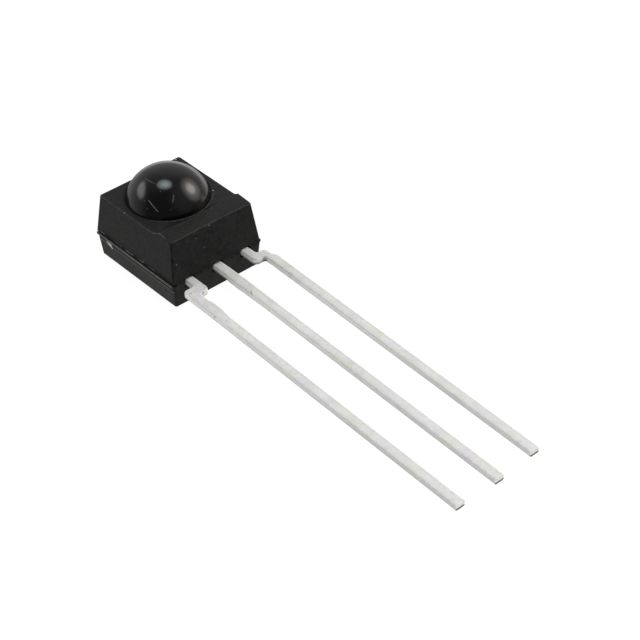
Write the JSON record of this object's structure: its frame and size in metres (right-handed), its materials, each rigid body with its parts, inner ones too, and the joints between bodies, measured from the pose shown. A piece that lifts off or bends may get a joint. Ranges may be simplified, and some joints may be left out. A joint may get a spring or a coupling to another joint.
{
  "type": "infrared receiver module",
  "caption": "Infrared receiver module: dark moulded block with a dome lens on its front face, fine side ridges at the mould seam and flat tinned leads running out of one end.",
  "frame": {"origin": "on the moulding's flat back face, straight under the lens axis", "axes": "+Z out of the front face along the lens axis, -Y along the leads away from the moulding, +X across the leads, so that with the lens towards the viewer and the leads down the output lead is on the left (-X)"},
  "size_m": [0.006, 0.0275, 0.0055],
  "materials": {
    "moulding": "satin",
    "leadframe": "satin",
    "silicon": "polished",
    "adhesive": "satin",
    "bond_wire": "polished"
  },
  "bodies": {
    "root": {"moulded_body": "moulding", "ground_lead": "leadframe", "output_lead": "leadframe", "supply_lead": "leadframe", "photodiode_chip": "silicon", "amplifier_chip": "silicon", "diode_adhesive": "adhesive", "amplifier_adhesive": "adhesive", "diode_wire": "bond_wire", "ground_wire": "bond_wire", "output_wire": "bond_wire", "supply_wire": "bond_wire"}
  },
  "joints": []
}
